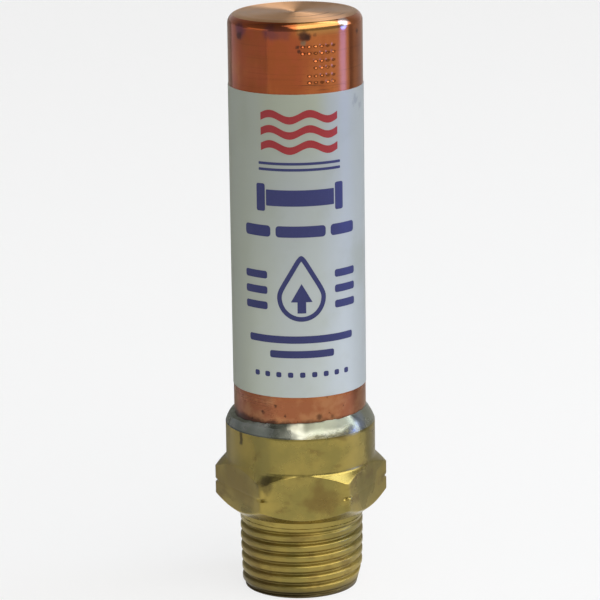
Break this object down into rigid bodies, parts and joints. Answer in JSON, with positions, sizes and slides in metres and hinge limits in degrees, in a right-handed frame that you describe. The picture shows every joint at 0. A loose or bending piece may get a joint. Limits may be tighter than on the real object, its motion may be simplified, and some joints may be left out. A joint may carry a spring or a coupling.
{
  "type": "water hammer arrestor",
  "caption": "Upright water hammer arrestor: closed copper air chamber soldered into a brass hex adapter with a male taper pipe thread, and an O-ring sealed piston sliding inside.",
  "frame": {"origin": "centre of the flat end face of the threaded nipple", "axes": "+Z along the axis from the threaded end to the closed end of the chamber, +X through two corners of the hexagon"},
  "size_m": [0.029, 0.0254, 0.0983],
  "materials": {
    "copper": "drawn and spun copper, slightly tarnished",
    "brass": "forged and turned brass, dull",
    "solder": "wiped tin solder",
    "label": "satin printed film",
    "piston_plastic": "moulded natural plastic, greased",
    "ring_rubber": "greased black rubber"
  },
  "bodies": {
    "casing": {"copper_chamber": "copper", "brass_adapter": "brass", "solder_fillet": "solder", "wrap_label": "label"},
    "plunger": {"piston": "piston_plastic", "upper_o_ring": "ring_rubber", "lower_o_ring": "ring_rubber"}
  },
  "joints": [
    {"name": "piston_slide", "type": "slide", "parent": "casing", "child": "plunger", "axis": [0, 0, 1], "range_m": [0, 0.051], "stiffness_N_per_m": 1000}
  ]
}
